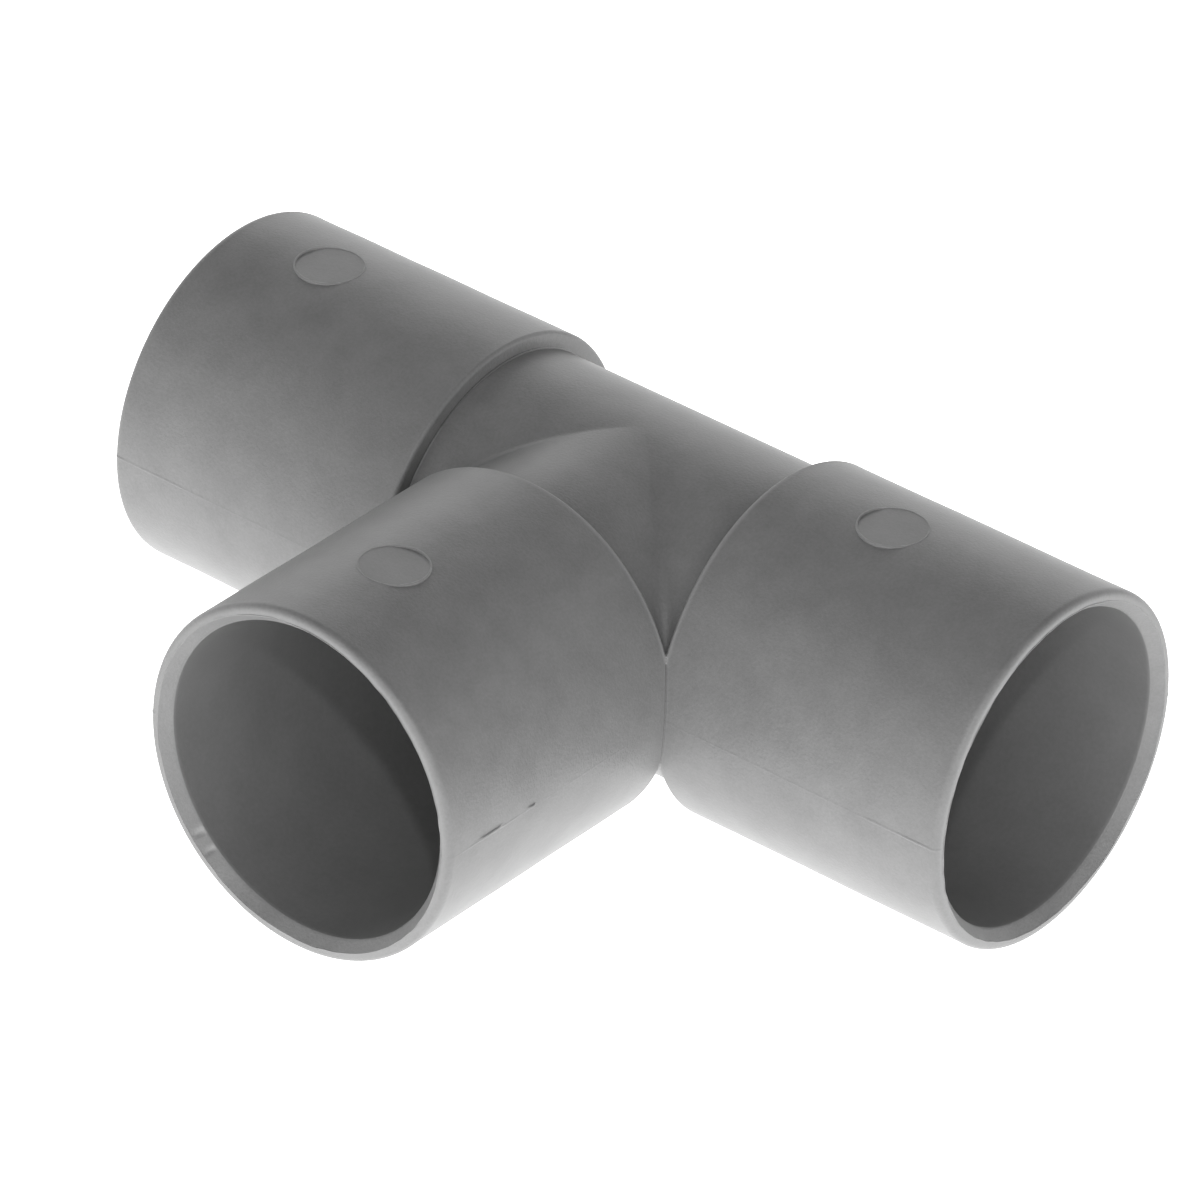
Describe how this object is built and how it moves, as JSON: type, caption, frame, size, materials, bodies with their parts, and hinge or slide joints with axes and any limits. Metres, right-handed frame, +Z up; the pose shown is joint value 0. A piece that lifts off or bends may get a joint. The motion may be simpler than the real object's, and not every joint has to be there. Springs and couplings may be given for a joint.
{
  "type": "pvc pipe tee fitting",
  "caption": "Equal 90 degree pipe tee with plain sockets for cemented pipe, a narrower barrel between them and a flat round mark on each socket.",
  "frame": {"origin": "where the three socket centre lines cross, the point that a pipe run is set out from", "axes": "+X along the run to the right socket, -Y out of the branch, +Z up, square to the plane of the centre lines, on the side of the marking discs"},
  "size_m": [0.0672, 0.0455, 0.0243],
  "materials": {
    "moulded_pvc": "satin, as moulded, mid grey PVC",
    "marking_disc_pvc": "satin, as moulded, mid grey PVC, a little smoother"
  },
  "bodies": {
    "root": {"run_barrel": "moulded_pvc", "branch_neck": "moulded_pvc", "run_socket_left": "moulded_pvc", "run_socket_right": "moulded_pvc", "branch_socket": "moulded_pvc", "marking_disc_left": "marking_disc_pvc", "marking_disc_right": "marking_disc_pvc", "marking_disc_branch": "marking_disc_pvc"}
  },
  "joints": []
}
